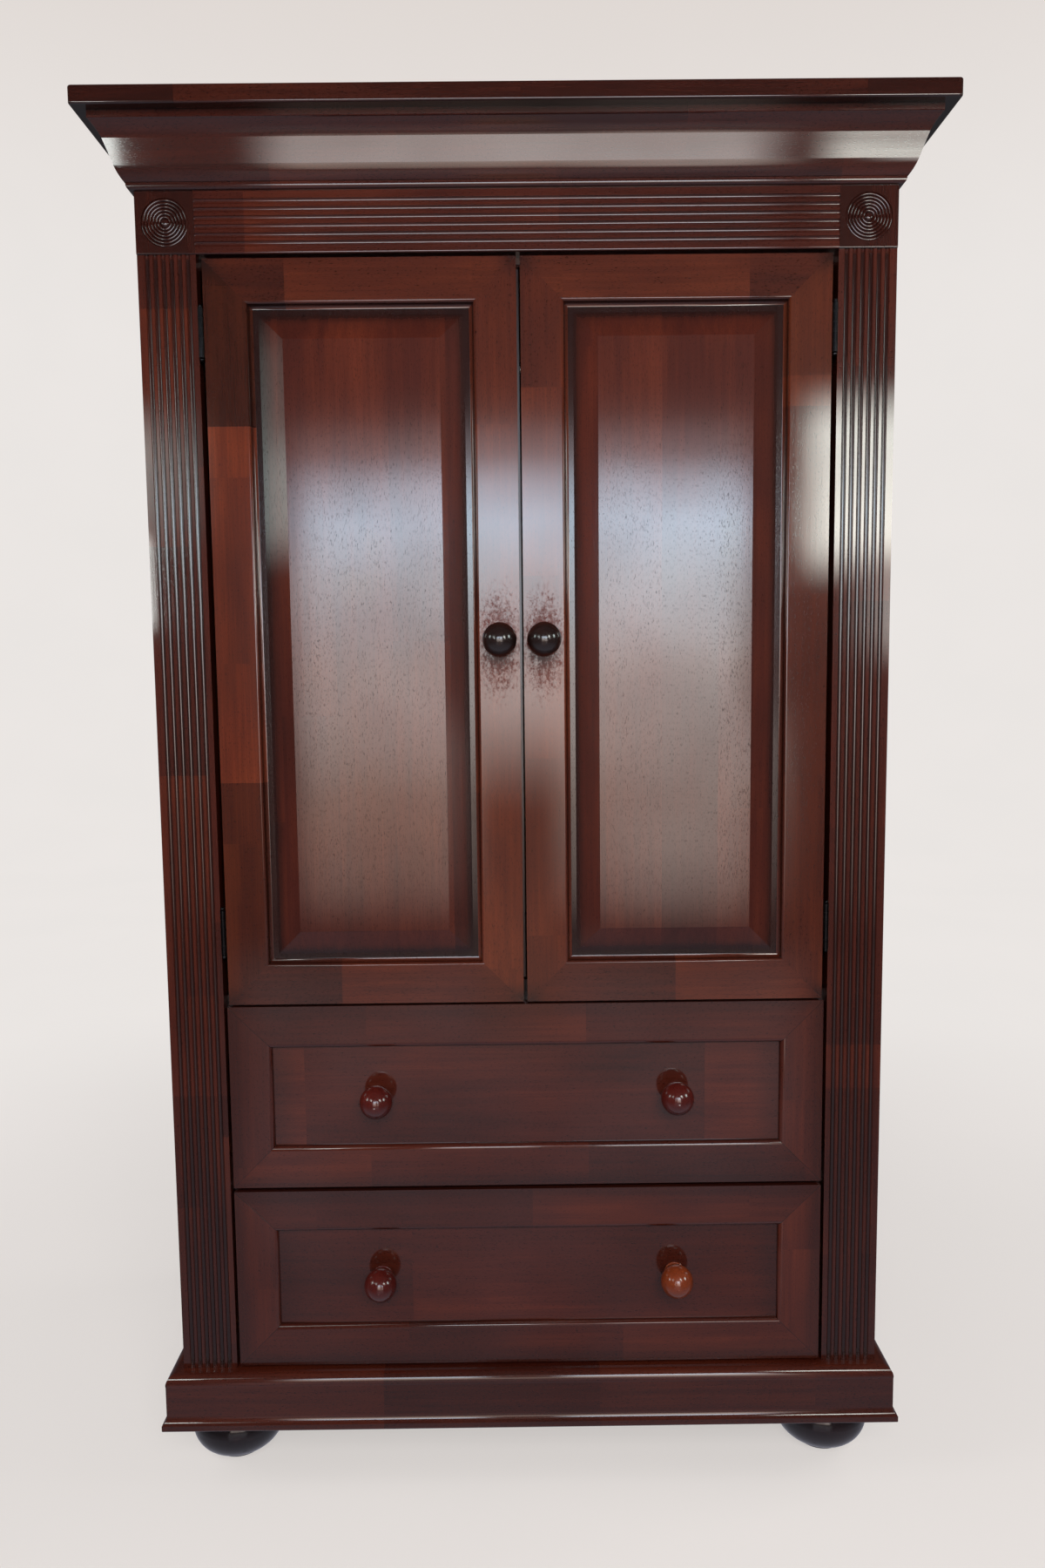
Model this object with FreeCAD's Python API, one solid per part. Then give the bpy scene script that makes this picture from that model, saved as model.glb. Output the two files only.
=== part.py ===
import FreeCAD, Part
import math
import os

from FreeCAD import Vector

# A free-standing armoire with two doors over two drawers, in millimetres.
# +Z is up and the front faces -Y. The origin is on the floor, under the centre of the top board.

# Overall size
body_width = 970.0
body_depth = 552.0
overhang = 58.0
top_height = 1834.5

# Heights of the horizontal divisions, bottom edge then top edge
plinth_z = (79.0, 156.0)
lower_front_z = (159.5, 412.5)
upper_front_z = (418.5, 674.0)
door_z = (677.5, 1651.5)
frieze_z = (1656.5, 1733.5)
crown_top = 1812.5

# Boards
board = 22.0
shelf_board = 18.0
back_board = 8.0
door_board = 20.0
box_board = 12.0
box_bottom_board = 6.0

# Rounding of the top board
top_corner_radius = 5.0
top_arris_radius = 2.5

# Room kept for the mitres of the crown and of the plinth
crown_reach = 48.0
plinth_reach = 30.0

# Flutes of the frieze and of the pilasters
pilaster_width = 74.8
flute_pitch = 10.35
flute_width = 6.6
flute_depth = 2.4
flute_count = 6
pilaster_outer_flat = 9.3
frieze_bottom_flat = 8.9
frieze_proud = 2.0

# Turned rosettes in the corner blocks
rosette_radius = 30.0
ring_pitch = 4.1
ring_count = 6
ring_relief = 1.8

# Doors
door_gap = 5.0
hinge_gap = 7.2
frame_flat = 52.5
frame_bead = 8.5
panel_lip = 7.0
panel_bevel = 31.5
panel_step = 1.0
panel_front = 9.5
panel_back = 15.0
field_depth = 1.5
tongue = 7.0
tongue_slack = 1.0

# Drawers
front_gap = 4.5
drawer_frame_flat = 52.0
drawer_frame_slope = 6.5
drawer_panel_recess = 7.0
box_half_width = 400.0
box_length = 500.0
slide_clearance = 0.3
drawer_panel_thickness = 7.0
box_bottom_lift = 8.0
box_headroom = 20.0
guide_clearance = 0.5
guide_height = 30.0

# Knobs
knob_radius = 22.25
knob_neck_radius = 9.0
knob_base_radius = 14.5
knob_base_height = 3.0
knob_ball_centre = 27.0
door_knob_x = 29.0
door_knob_z = 1165.5
drawer_knob_x = 204.0

# Hinges
hinge_z = (777.5, 1559.5)
leaf_height = 62.0
leaf_thickness = 2.1
leaf_depth = 20.0
knuckle_radius = 3.4
pin_radius = 1.5
pin_clearance = 0.05
knuckle_count = 5
knuckle_slack = 0.15
knuckle_room = 0.35
hinge_axis_proud = 1.5
hinge_tip_radius = 2.6

# Strip behind the gap between the doors, and the block below it that both doors stop against
astragal_x = (-30.0, 0.5)
astragal_thickness = 8.0
astragal_low_z = 706.5
stop_block_half_width = 26.0
stop_block_depth = 25.5
stop_block_top_z = 702.0
stop_gap = 0.5

# Door catches and their strikes
catch_x = 60.0
catch_width = 32.0
catch_depth = 17.8
catch_height = 13.0
strike_width = 24.0
strike_height = 10.0
strike_thickness = 1.2

# Hanging rod
rod_radius = 12.5
rod_drop = 60.0
rod_socket_wall = 4.0
rod_socket_depth = 14.0
rod_hole_depth = 11.0
rod_end_slack = 1.0
rod_hole_clearance = 0.1

# Feet and the blocks that they are fixed to
glue_block = 100.0
foot_radius = 66.0
foot_inset_x = 58.0
foot_inset_y = 67.0

# Derived planes
half_width = body_width / 2
back_y = (body_depth + overhang) / 2
face_y = back_y - body_depth
inner_y = face_y + board
door_back_y = face_y + door_board
frieze_y = face_y - frieze_proud
side_inner_x = half_width - board
opening_x = half_width - pilaster_width
door_outer_x = opening_x - hinge_gap
door_inner_x = door_gap / 2
front_half_width = opening_x - front_gap
hinge_x = (door_outer_x + opening_x) / 2
hinge_y = face_y - hinge_axis_proud
panel_back_y = back_y - back_board

# Tops of the horizontal panels, and the underside of the cabinet's ceiling
base_top = lower_front_z[0] + 4.0
divider_top = (lower_front_z[1] + upper_front_z[0]) / 2 + shelf_board / 2
floor_top = (upper_front_z[1] + door_z[0]) / 2 + shelf_board / 2
ceiling_z = door_z[1] - 7.0


def box(x, y, z):
    """A block between the low and high value of each axis."""
    return Part.makeBox(x[1] - x[0], y[1] - y[0], z[1] - z[0], Vector(x[0], y[0], z[0]))


def mirrored(shape):
    """The same piece on the other side of the centre plane."""
    return shape.mirror(Vector(0, 0, 0), Vector(1, 0, 0))


def save(name, *solids):
    """Write one node; several solids are a group of separate pieces."""
    shape = solids[0] if len(solids) == 1 else Part.makeCompound(list(solids))
    shape.exportStep("parts/" + name + ".step")


def save_pair(left_name, right_name, right_solid):
    """Write a piece that has a twin on the other side."""
    save(right_name, right_solid)
    save(left_name, mirrored(right_solid))


def outline(steps, place):
    """A closed face. A step is a point (line) or a pair of points (arc through the first)."""
    points = [step if isinstance(step[0], tuple) else (step,) for step in steps]
    edges = []
    here = place(*points[-1][-1])
    for step in points:
        goal = place(*step[-1])
        if len(step) == 2:
            edges.append(Part.Arc(here, place(*step[0]), goal).toShape())
        else:
            edges.append(Part.LineSegment(here, goal).toShape())
        here = goal
    return Part.Face(Part.Wire(edges))


def turned(steps, centre, axis):
    """A turned piece. Steps give (radius, distance along the axis), and close on the axis."""
    face = outline(steps, lambda r, h: Vector(r, 0, h))
    solid = face.revolve(Vector(0, 0, 0), Vector(0, 0, 1), 360)
    solid.Placement = FreeCAD.Placement(centre, FreeCAD.Rotation(Vector(0, 0, 1), axis))
    return Part.makeSolid(solid.Shells[0]) if solid.ShapeType != "Solid" else solid


def footprint(points, z):
    """A prism on the floor plan that cuts mouldings to length and to their mitres."""
    wire = Part.makePolygon([Vector(x, y, z[0]) for x, y in points + points[:1]])
    return Part.Face(wire).extrude(Vector(0, 0, z[1] - z[0]))


# Mouldings that run round the body

def moulding_run(profile, reach, z):
    """The front run and the right return of a moulding, mitred at the corner.

    The profile is (distance out from the body, height). The front run is thicker by one board,
    because it also closes the front of the body.
    """
    left_end = -half_width - reach
    front_steps = [(-board, z[0])] + profile + [(-board, z[1])]
    front = outline(front_steps, lambda o, h: Vector(left_end, face_y - o, h))
    front = front.extrude(Vector(-2 * left_end, 0, 0))
    front_plan = [(-half_width, inner_y), (half_width, inner_y), (half_width, face_y),
                  (half_width + reach, face_y - reach), (left_end, face_y - reach), (-half_width, face_y)]
    side_steps = [(0, z[0])] + profile + [(0, z[1])]
    side = outline(side_steps, lambda o, h: Vector(half_width + o, face_y - reach, h))
    side = side.extrude(Vector(0, back_y - face_y + reach, 0))
    side_plan = [(half_width, face_y), (half_width + reach, face_y - reach), (half_width + reach, back_y),
                 (half_width, back_y)]
    front = front.common(footprint(front_plan, z)).Solids[0]
    side = side.common(footprint(side_plan, z)).Solids[0]
    return front, side


def make_crown():
    """Small bead, ovolo, long slope, cove and a square fillet under the top board."""
    low, high = frieze_z[1], crown_top
    profile = [(3.5, low), ((6.5, low + 1.5), (8.0, low + 4.4)), (8.3, low + 8.0), (9.4, low + 8.2),
               ((15.1, low + 16.6), (18.8, low + 25.0)), ((23.5, low + 38.8), (28.4, low + 52.4)),
               ((33.4, low + 61.6), (40.0, low + 69.6)), (41.3, low + 70.4), (41.3, high)]
    front, side = moulding_run(profile, crown_reach, (low, high))
    save("crown_front", front)
    save_pair("crown_left", "crown_right", side)


def make_plinth():
    """Flat board with a rounded shoulder above and a flared, rounded foot below."""
    low, high = plinth_z
    profile = [(23.6, low), ((25.6, low + 0.9), (26.2, low + 3.4)), (26.2, low + 9.0),
               ((22.4, low + 12.6), (20.4, low + 20.0)), (20.4, high - 15.0),
               ((18.6, high - 5.6), (12.6, high - 0.8)), (10.4, high)]
    front, side = moulding_run(profile, plinth_reach, (low, high))
    save("plinth_front", front)
    save_pair("plinth_left", "plinth_right", side)
    save("plinth_back", box((-side_inner_x, side_inner_x), (panel_back_y - shelf_board, panel_back_y),
                            (low, base_top - shelf_board)))


# Frieze, corner blocks and pilasters

def flute_steps(start, level):
    """A row of round-bottomed flutes cut into a level face, from the low edge of the first one."""
    steps = []
    for i in range(flute_count):
        low = start + i * flute_pitch
        steps += [(low, level), ((low + flute_width / 2, level + flute_depth), (low + flute_width, level))]
    return steps


def make_frieze():
    low, high = frieze_z
    edge = frieze_proud
    steps = [(low, inner_y), (low, frieze_y + edge),
             ((low + 0.3 * edge, frieze_y + 0.3 * edge), (low + edge, frieze_y))]
    steps += flute_steps(low + frieze_bottom_flat, frieze_y)
    steps += [(high, frieze_y), (high, inner_y)]
    face = outline(steps, lambda h, y: Vector(-opening_x, y, h))
    save("frieze_board", face.extrude(Vector(2 * opening_x, 0, 0)))


def make_corner_blocks():
    """A square block with beaded rings and a centre button turned into its face."""
    low, high = frieze_z
    centre = Vector(half_width - pilaster_width / 2, frieze_y, (low + high) / 2)
    block = box((opening_x, half_width), (frieze_y, inner_y), frieze_z)
    block = block.makeFillet(frieze_proud * 0.8, [edge for edge in block.Edges
                                                  if abs(edge.CenterOfMass.z - low) < 0.1
                                                  and abs(edge.CenterOfMass.y - frieze_y) < 0.1])
    rim = rosette_radius
    sunk = [(0, -ring_relief), (0, 2.0), (rim, 2.0), (rim, -ring_relief)]
    block = block.cut(turned(sunk, centre, Vector(0, -1, 0)))
    button = rosette_radius - ring_count * ring_pitch
    steps = [(0, -ring_relief - 1.0), (rim, -ring_relief - 1.0), (rim, -ring_relief)]
    for i in range(ring_count):
        outer = rosette_radius - i * ring_pitch
        steps.append(((outer - ring_pitch / 2, 0.0), (outer - ring_pitch, -ring_relief)))
    steps.append(((button * 0.6, 0.2), (0, 0.8)))
    rings = turned(steps, centre, Vector(0, -1, 0))
    save_pair("corner_block_left", "corner_block_right", block.fuse(rings).removeSplitter().Solids[0])


def make_pilasters():
    steps = [(-half_width, inner_y), (-half_width, face_y)]
    steps += flute_steps(-half_width + pilaster_outer_flat, face_y)
    steps += [(-opening_x, face_y), (-opening_x, inner_y)]
    face = outline(steps, lambda x, y: Vector(x, y, plinth_z[1]))
    left = face.extrude(Vector(0, 0, frieze_z[0] - plinth_z[1]))
    save_pair("pilaster_right", "pilaster_left", left)


# Carcass

def make_carcass():
    inside_x = (-side_inner_x, side_inner_x)
    panel_y = (inner_y, panel_back_y)
    save_pair("side_panel_left", "side_panel_right",
              box((side_inner_x, half_width), (inner_y, back_y), (plinth_z[0], crown_top)))
    save("back_panel", box(inside_x, (panel_back_y, back_y), (plinth_z[0], crown_top)))
    save("base_panel", box(inside_x, panel_y, (base_top - shelf_board, base_top)))
    save("drawer_divider", box(inside_x, panel_y, (divider_top - shelf_board, divider_top)))
    save("cabinet_floor", box(inside_x, panel_y, (floor_top - shelf_board, floor_top)))
    save("carcass_top_panel", box(inside_x, panel_y, (ceiling_z, ceiling_z + board)))
    blocks = []
    block_z = (plinth_z[0], base_top - shelf_board)
    for low_y in (inner_y, panel_back_y - shelf_board - glue_block):
        right = box((side_inner_x - glue_block, side_inner_x), (low_y, low_y + glue_block), block_z)
        blocks += [mirrored(right), right]
    save("glue_blocks", *blocks)


def make_top_board():
    end_x = half_width + overhang
    plan = box((-end_x, end_x), (face_y - overhang, back_y), (crown_top, top_height))
    upright = [edge for edge in plan.Edges if abs(edge.tangentAt(edge.FirstParameter).z) > 0.9
               and edge.CenterOfMass.y < 0]
    plan = plan.makeFillet(top_corner_radius, upright)
    rims = [edge for edge in plan.Edges if abs(edge.tangentAt(edge.FirstParameter).z) < 0.1
            and edge.CenterOfMass.y < back_y - 1.0]
    save("top_board", plan.makeFillet(top_arris_radius, rims))


def make_feet():
    """Bun feet: a short neck under the plinth, one full round and a small pad below it."""
    steps = [(0, 0), (36.0, 0), (36.0, 4.0), (39.0, 6.0), ((foot_radius - 5.0, 23.0), (foot_radius, 46.0)),
             ((foot_radius - 3.5, 60.0), (foot_radius - 11.0, 70.0)), (foot_radius - 11.0, plinth_z[0]),
             (0, plinth_z[0])]
    foot_x = half_width - foot_inset_x
    feet = []
    for foot_y in (face_y + foot_inset_y, panel_back_y - foot_inset_y - shelf_board):
        foot = turned(steps, Vector(foot_x, foot_y, 0), Vector(0, 0, 1))
        feet += [mirrored(foot), foot]
    save("bun_feet", *feet)


# Mitred frames, for the doors and the drawer fronts

def frame_members(x, z, width, profile):
    """Two stiles and two rails, cut to 45 degree mitres. The profile is (inward, y)."""
    centre_x = (x[0] + x[1]) / 2
    centre_z = (z[0] + z[1]) / 2
    members = {}
    stile = outline(profile, lambda u, y: Vector(x[0] + u, y, z[0])).extrude(Vector(0, 0, z[1] - z[0]))
    rail = outline(profile, lambda u, y: Vector(x[0], y, z[0] + u)).extrude(Vector(x[1] - x[0], 0, 0))
    stile_plan = [(x[0], z[0]), (x[0] + width, z[0] + width), (x[0] + width, z[1] - width), (x[0], z[1])]
    rail_plan = [(x[0], z[0]), (x[1], z[0]), (x[1] - width, z[0] + width), (x[0] + width, z[0] + width)]
    for name, solid, plan in (("low_stile", stile, stile_plan), ("bottom_rail", rail, rail_plan)):
        corners = [Vector(px, face_y - 10.0, pz) for px, pz in plan + plan[:1]]
        prism = Part.Face(Part.makePolygon(corners)).extrude(Vector(0, board + 20.0, 0))
        members[name] = solid.common(prism).Solids[0]
    members["high_stile"] = members["low_stile"].mirror(Vector(centre_x, 0, 0), Vector(1, 0, 0))
    members["top_rail"] = members["bottom_rail"].mirror(Vector(0, 0, centre_z), Vector(0, 0, 1))
    return members


def rectangle(x, z, inset, y):
    corners = [(x[0] + inset, z[0] + inset), (x[1] - inset, z[0] + inset), (x[1] - inset, z[1] - inset),
               (x[0] + inset, z[1] - inset)]
    return Part.makePolygon([Vector(cx, y, cz) for cx, cz in corners + corners[:1]])


def knob(centre):
    """A turned ball knob on a short waisted neck with a rounded base ring."""
    base = knob_base_radius
    ring = knob_base_height
    shoulder_radius = knob_neck_radius + 1.5
    shoulder = knob_ball_centre - math.sqrt(knob_radius ** 2 - shoulder_radius ** 2)
    steps = [(0, 0), (base - ring / 2, 0), ((base, ring / 2), (base - ring / 2, ring)),
             (knob_neck_radius + 1.0, ring),
             ((knob_neck_radius, (ring + shoulder) / 2), (shoulder_radius, shoulder)),
             ((knob_radius, knob_ball_centre), (0, knob_ball_centre + knob_radius))]
    return turned(steps, centre, Vector(0, -1, 0))


def door_frame_profile():
    """Flat face, a rounded inner edge with a small cove below it, and a groove for the panel."""
    inside = frame_flat + frame_bead
    groove = inside - tongue - tongue_slack
    front, back = face_y + panel_front, face_y + panel_back
    return [(0, face_y), (frame_flat, face_y),
            ((frame_flat + 2.6, face_y + 0.9), (frame_flat + 3.8, face_y + 3.2)),
            ((frame_flat + 4.8, face_y + 6.6), (inside, face_y + 8.2)), (inside, front), (groove, front),
            (groove, back), (inside, back), (inside, door_back_y), (0, door_back_y)]


def make_raised_panel(x, z):
    """A flat field, a small step, a wide bevel and a lip, on a plate whose edge is the tongue."""
    inside = frame_flat + frame_bead
    edge = inside - tongue
    bevel_foot = inside + panel_lip
    field_inset = bevel_foot + panel_bevel
    lip_y = face_y + panel_front
    field_y = face_y + field_depth
    bevel_outlines = [rectangle(x, z, bevel_foot, lip_y),
                      rectangle(x, z, field_inset, field_y + panel_step)]
    bevel = Part.makeLoft(bevel_outlines, True, True)
    field = box((x[0] + field_inset, x[1] - field_inset), (field_y, field_y + panel_step),
                (z[0] + field_inset, z[1] - field_inset))
    plate = box((x[0] + edge, x[1] - edge), (lip_y, face_y + panel_back), (z[0] + edge, z[1] - edge))
    return plate.fuse([bevel, field]).removeSplitter().Solids[0]


def make_doors():
    x = (door_inner_x, door_outer_x)
    members = frame_members(x, door_z, frame_flat + frame_bead, door_frame_profile())
    save_pair("left_door_meeting_stile", "right_door_meeting_stile", members["low_stile"])
    save_pair("left_door_hinge_stile", "right_door_hinge_stile", members["high_stile"])
    save_pair("left_door_top_rail", "right_door_top_rail", members["top_rail"])
    save_pair("left_door_bottom_rail", "right_door_bottom_rail", members["bottom_rail"])
    save_pair("left_door_panel", "right_door_panel", make_raised_panel(x, door_z))
    save_pair("left_door_knob", "right_door_knob", knob(Vector(door_knob_x, face_y, door_knob_z)))
    strike_z = (ceiling_z - strike_height - 2.0, ceiling_z - 2.0)
    strike_x = (catch_x - strike_width / 2, catch_x + strike_width / 2)
    strike = box(strike_x, (door_back_y, door_back_y + strike_thickness), strike_z)
    save_pair("left_door_strike", "right_door_strike", strike)


# Strip behind the gap between the doors, and the parts that the doors close on

def make_door_closing_parts():
    strip_y = (door_back_y, door_back_y + astragal_thickness)
    save("left_door_astragal", box(astragal_x, strip_y, (astragal_low_z, ceiling_z - 3.0)))
    block_x = (-stop_block_half_width, stop_block_half_width)
    block_y = (inner_y + stop_gap, inner_y + stop_gap + stop_block_depth)
    save("door_stop_block", box(block_x, block_y, (floor_top, stop_block_top_z)))
    catch_side_x = (catch_x - catch_width / 2, catch_x + catch_width / 2)
    catch_front_y = door_back_y + strike_thickness + 1.0
    catch_y = (catch_front_y, catch_front_y + catch_depth)
    catch = box(catch_side_x, catch_y, (ceiling_z - catch_height, ceiling_z))
    save("door_catches", mirrored(catch), catch)


# Hinges

def hinge_leaf(z_middle, is_door_leaf):
    """One leaf with its share of the knuckles; the frame leaf has the first and the last."""
    low = z_middle - leaf_height / 2
    step = leaf_height / knuckle_count
    plate_x = (opening_x - leaf_thickness, opening_x)
    if is_door_leaf:
        plate_x = (door_outer_x, door_outer_x + leaf_thickness)
    leaf = box(plate_x, (hinge_y, hinge_y + leaf_depth), (low, low + leaf_height))
    axis_start = Vector(hinge_x, hinge_y, low)
    up = Vector(0, 0, 1)
    for i in range(knuckle_count):
        own = (i % 2 == 1) == is_door_leaf
        start = low + i * step
        if own:
            low_slack = 0 if i == 0 else knuckle_slack
            high_slack = 0 if i == knuckle_count - 1 else knuckle_slack
            knuckle = Part.makeCylinder(knuckle_radius, step - low_slack - high_slack,
                                        Vector(hinge_x, hinge_y, start + low_slack), up)
            leaf = leaf.fuse(knuckle)
        else:
            room = Part.makeCylinder(knuckle_radius + knuckle_room, step, Vector(hinge_x, hinge_y, start), up)
            leaf = leaf.cut(room)
    bore = Part.makeCylinder(pin_radius + pin_clearance, leaf_height, axis_start, up)
    return leaf.cut(bore).removeSplitter().Solids[0]


def hinge_pin(z_middle):
    """A pin with a small ball tip at each end."""
    half = leaf_height / 2
    tip = hinge_tip_radius
    ball = half + math.sqrt(tip ** 2 - pin_radius ** 2)
    steps = [(0, -ball - tip), ((tip, -ball), (pin_radius, -half)), (pin_radius, half),
             ((tip, ball), (0, ball + tip))]
    return turned(steps, Vector(hinge_x, hinge_y, z_middle), Vector(0, 0, 1))


def make_hinges():
    door_leaves = [hinge_leaf(z, True) for z in hinge_z]
    frame_leaves = [hinge_leaf(z, False) for z in hinge_z]
    pins = [hinge_pin(z) for z in hinge_z]
    save("right_door_hinge_leaves", *door_leaves)
    save("left_door_hinge_leaves", *[mirrored(leaf) for leaf in door_leaves])
    save("hinge_frame_leaves", *frame_leaves, *[mirrored(leaf) for leaf in frame_leaves])
    save("hinge_pins", *pins, *[mirrored(pin) for pin in pins])


# Hanging rod

def make_rod():
    centre_y = (inner_y + panel_back_y) / 2
    rod_z = ceiling_z - rod_drop
    along = Vector(1, 0, 0)
    mouth = Vector(side_inner_x - rod_socket_depth, centre_y, rod_z)
    rod_end = mouth.x + rod_hole_depth - rod_end_slack
    rod = Part.makeCylinder(rod_radius, 2 * rod_end, Vector(-rod_end, centre_y, rod_z), along)
    socket = Part.makeCylinder(rod_radius + rod_socket_wall, rod_socket_depth, mouth, along)
    hole = Part.makeCylinder(rod_radius + rod_hole_clearance, rod_hole_depth, mouth, along)
    socket = socket.cut(hole)
    save("hanging_rod", rod)
    save("rod_sockets", mirrored(socket), socket)


# Drawers

def make_drawer(name, z, carrier_top, headroom_z):
    """A framed front with a flat panel, and a box that slides on the panel below it."""
    x = (-front_half_width, front_half_width)
    inside = drawer_frame_flat + drawer_frame_slope
    panel_y = face_y + drawer_panel_recess
    recess_back = panel_y + drawer_panel_thickness
    groove = inside - tongue - tongue_slack
    profile = [(0, face_y), (drawer_frame_flat, face_y), ((inside - 1.6, face_y + 2.2), (inside, panel_y)),
               (groove, panel_y), (groove, recess_back), (inside, recess_back),
               (inside, door_back_y), (0, door_back_y)]
    members = frame_members(x, z, inside, profile)
    save(name + "_front_frame", *members.values())
    edge = inside - tongue
    panel_x = (x[0] + edge, x[1] - edge)
    panel_z = (z[0] + edge, z[1] - edge)
    save(name + "_front_panel", box(panel_x, (panel_y, recess_back), panel_z))

    box_z = (carrier_top + slide_clearance, headroom_z)
    box_y = (door_back_y, door_back_y + box_length)
    side = box((box_half_width - box_board, box_half_width), box_y, box_z)
    within_x = (box_board - box_half_width, box_half_width - box_board)
    save(name + "_box_sides", mirrored(side), side)
    save(name + "_box_back", box(within_x, (box_y[1] - box_board, box_y[1]), box_z))
    bottom_z = (box_z[0] + box_bottom_lift, box_z[0] + box_bottom_lift + box_bottom_board)
    save(name + "_box_bottom", box(within_x, (box_y[0], box_y[1] - box_board), bottom_z))
    knob_z = (z[0] + z[1]) / 2
    return [knob(Vector(side_x, panel_y, knob_z)) for side_x in (-drawer_knob_x, drawer_knob_x)]


def make_drawers():
    upper_room_z = floor_top - shelf_board - box_headroom
    save("upper_drawer_knobs", *make_drawer("upper_drawer", upper_front_z, divider_top, upper_room_z))
    lower_room_z = divider_top - shelf_board - box_headroom
    left, right = make_drawer("lower_drawer", lower_front_z, base_top, lower_room_z)
    save("lower_drawer_knob_left", left)
    save("lower_drawer_knob_right", right)
    guides = []
    guide_x = (box_half_width + guide_clearance, side_inner_x)
    for low_z in (base_top, divider_top):
        right_guide = box(guide_x, (inner_y, panel_back_y), (low_z, low_z + guide_height))
        guides += [mirrored(right_guide), right_guide]
    save("drawer_guides", *guides)


os.makedirs("parts", exist_ok=True)
make_carcass()
make_top_board()
make_crown()
make_plinth()
make_feet()
make_frieze()
make_corner_blocks()
make_pilasters()
make_doors()
make_door_closing_parts()
make_hinges()
make_rod()
make_drawers()
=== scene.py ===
import math

import bpy
from mathutils import Matrix, Vector


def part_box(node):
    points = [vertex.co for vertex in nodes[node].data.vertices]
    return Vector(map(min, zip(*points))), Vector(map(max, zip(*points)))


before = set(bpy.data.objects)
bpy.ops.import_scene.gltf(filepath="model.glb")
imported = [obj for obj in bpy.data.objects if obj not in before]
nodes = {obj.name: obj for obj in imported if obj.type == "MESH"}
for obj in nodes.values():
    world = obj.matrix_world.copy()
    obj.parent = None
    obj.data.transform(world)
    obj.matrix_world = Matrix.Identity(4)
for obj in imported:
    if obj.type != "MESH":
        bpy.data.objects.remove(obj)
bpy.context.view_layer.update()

scene = bpy.context.scene


# Colours

def rgba(colour):
    return (*colour, 1.0)


def shade(red, green, blue):
    """A colour given as it looks on a screen, 0 to 255, in linear light."""
    shares = (red / 255, green / 255, blue / 255)
    return tuple(c / 12.92 if c < 0.0404 else ((c + 0.055) / 1.055) ** 2.4 for c in shares)


# Wood tones run from the darkest stave to the lightest.
DOOR_MAHOGANY = [shade(26, 9, 7), shade(50, 17, 9), shade(72, 27, 13), shade(96, 40, 18), shade(120, 56, 26)]
MAHOGANY = [shade(22, 8, 7), shade(40, 13, 8), shade(56, 19, 11), shade(76, 29, 15), shade(102, 46, 22)]
INTERIOR = [shade(54, 24, 17), shade(80, 36, 24), shade(104, 50, 32), shade(122, 64, 42)]
FOOT = [shade(14, 9, 11), shade(24, 15, 18), shade(36, 22, 24)]
DARK_KNOB = [shade(16, 9, 8), shade(28, 15, 13), shade(44, 22, 17)]
RED_KNOB = [shade(44, 9, 8), shade(64, 15, 11), shade(88, 26, 16)]
LIGHT_KNOB = [shade(66, 22, 9), shade(94, 36, 15), shade(126, 56, 25)]
PINE = [shade(176, 138, 96), shade(196, 160, 116), shade(212, 178, 134)]
PLYWOOD = [shade(96, 62, 42), shade(122, 82, 56), shade(142, 98, 68)]

# Dark stain for the mitre joints, and painted shade for the flutes, grooves and hollows behind mouldings.
JOINT_STAIN_AND_HOLLOW_SHADE = shade(12, 5, 5)
RIM_STAIN = shade(15, 6, 6)
FRONT_EDGE_STAIN = shade(18, 8, 7)
RUBBED_WOOD = shade(82, 26, 23)
CATCH_BROWN = shade(70, 42, 28)
PAPER = (shade(232, 228, 225), shade(236, 231, 228))
# Painted shade: the backdrop paper's colour high up, darker than lower down.
PAPER_SHADED_OVERHEAD = shade(221, 213, 208)
BLACK_IRON = (0.014, 0.013, 0.014)
BLACK_PIN = (0.018, 0.017, 0.018)


# Short calls for building node trees

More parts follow.
